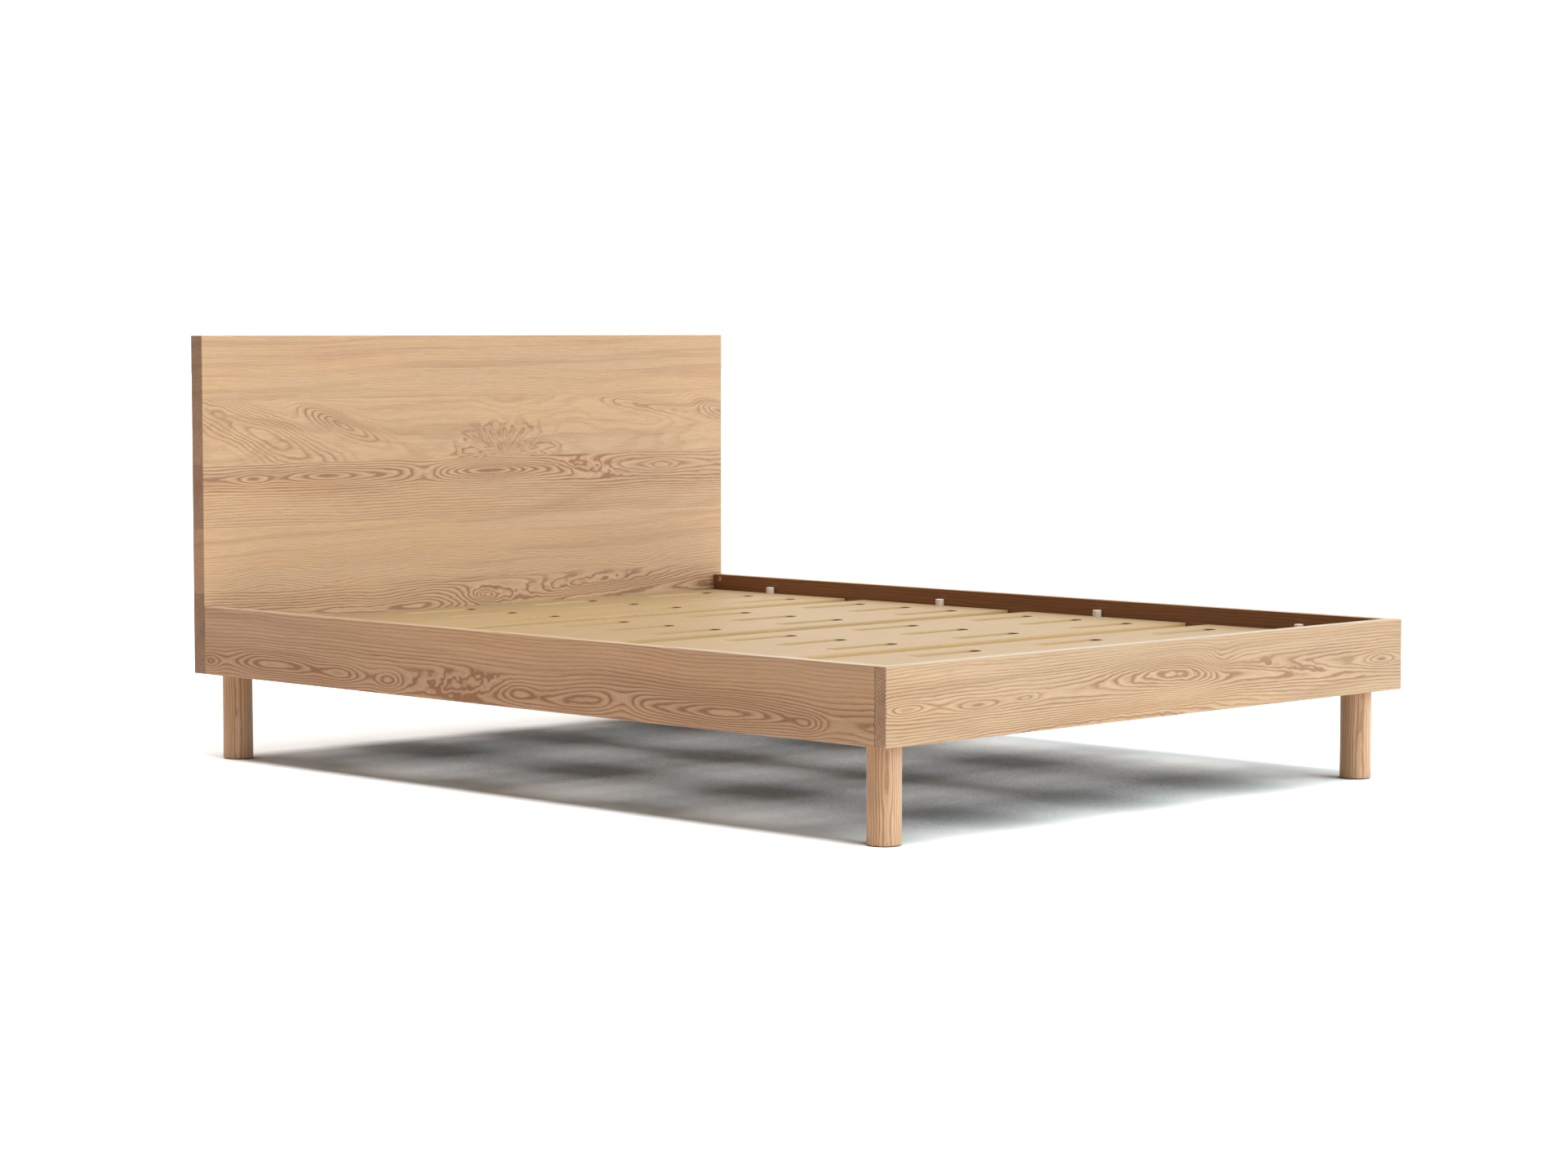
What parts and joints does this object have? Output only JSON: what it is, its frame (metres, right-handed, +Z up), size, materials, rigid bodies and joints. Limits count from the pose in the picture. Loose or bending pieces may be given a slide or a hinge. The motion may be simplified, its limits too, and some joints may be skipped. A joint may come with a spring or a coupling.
{
  "type": "bed frame",
  "caption": "Queen-size wooden bed frame: flat panel headboard, low side and foot rails, round legs and a loose deck of slotted plywood panels.",
  "frame": {"origin": "on the floor, under the middle of the bed's outer box", "axes": "+Z up, +Y towards the headboard, +X across the bed, towards the right-hand rail seen from the foot end"},
  "size_m": [1.596, 2.118, 0.94],
  "materials": {
    "ash": "clear matt oil",
    "plywood": "sanded, unfinished",
    "pine": "planed, unfinished",
    "white_peg": "satin",
    "zinc_steel": "zinc plated",
    "felt": "pressed felt"
  },
  "bodies": {
    "bed_frame": {"barrel_nut_foot_left_lower": "zinc_steel", "barrel_nut_foot_left_upper": "zinc_steel", "barrel_nut_foot_right_lower": "zinc_steel", "barrel_nut_foot_right_upper": "zinc_steel", "barrel_nut_head_left_lower": "zinc_steel", "barrel_nut_head_left_upper": "zinc_steel", "barrel_nut_head_right_lower": "zinc_steel", "barrel_nut_head_right_upper": "zinc_steel", "beam_hanger_foot": "zinc_steel", "beam_hanger_head": "zinc_steel", "centre_beam": "pine", "connector_stud_foot_left_lower": "zinc_steel", "connector_stud_foot_left_upper": "zinc_steel", "connector_stud_foot_right_lower": "zinc_steel", "connector_stud_foot_right_upper": "zinc_steel", "connector_stud_head_left_lower": "zinc_steel", "connector_stud_head_left_upper": "zinc_steel", "connector_stud_head_right_lower": "zinc_steel", "connector_stud_head_right_upper": "zinc_steel", "corner_block_foot_left": "pine", "corner_block_foot_right": "pine", "corner_block_head_left": "pine", "corner_block_head_right": "pine", "foot_rail": "ash", "glide_foot_left": "felt", "glide_foot_right": "felt", "glide_head_left": "felt", "glide_head_right": "felt", "headboard": "ash", "leg_bolt_foot_left": "zinc_steel", "leg_bolt_foot_right": "zinc_steel", "leg_bolt_head_left": "zinc_steel", "leg_bolt_head_right": "zinc_steel", "leg_foot_left": "ash", "leg_foot_right": "ash", "leg_head_left": "ash", "leg_head_right": "ash", "peg_left_1": "white_peg", "peg_left_2": "white_peg", "peg_left_3": "white_peg", "peg_left_4": "white_peg", "peg_right_1": "white_peg", "peg_right_2": "white_peg", "peg_right_3": "white_peg", "peg_right_4": "white_peg", "side_cleat_left": "pine", "side_cleat_right": "pine", "side_rail_left": "ash", "side_rail_right": "ash", "threaded_insert_foot_left": "zinc_steel", "threaded_insert_foot_right": "zinc_steel", "threaded_insert_head_left": "zinc_steel", "threaded_insert_head_right": "zinc_steel"},
    "deck_panel_1": {"deck_panel_1": "plywood"},
    "deck_panel_2": {"deck_panel_2": "plywood"},
    "deck_panel_3": {"deck_panel_3": "plywood"},
    "deck_panel_4": {"deck_panel_4": "plywood"}
  },
  "joints": [
    {"name": "deck_panel_1_lift", "type": "slide", "parent": "bed_frame", "child": "deck_panel_1", "axis": [0, 0, 1], "range_m": [0, 0.66]},
    {"name": "deck_panel_2_lift", "type": "slide", "parent": "bed_frame", "child": "deck_panel_2", "axis": [0, 0, 1], "range_m": [0, 0.66]},
    {"name": "deck_panel_3_lift", "type": "slide", "parent": "bed_frame", "child": "deck_panel_3", "axis": [0, 0, 1], "range_m": [0, 0.66]},
    {"name": "deck_panel_4_lift", "type": "slide", "parent": "bed_frame", "child": "deck_panel_4", "axis": [0, 0, 1], "range_m": [0, 0.66]}
  ]
}
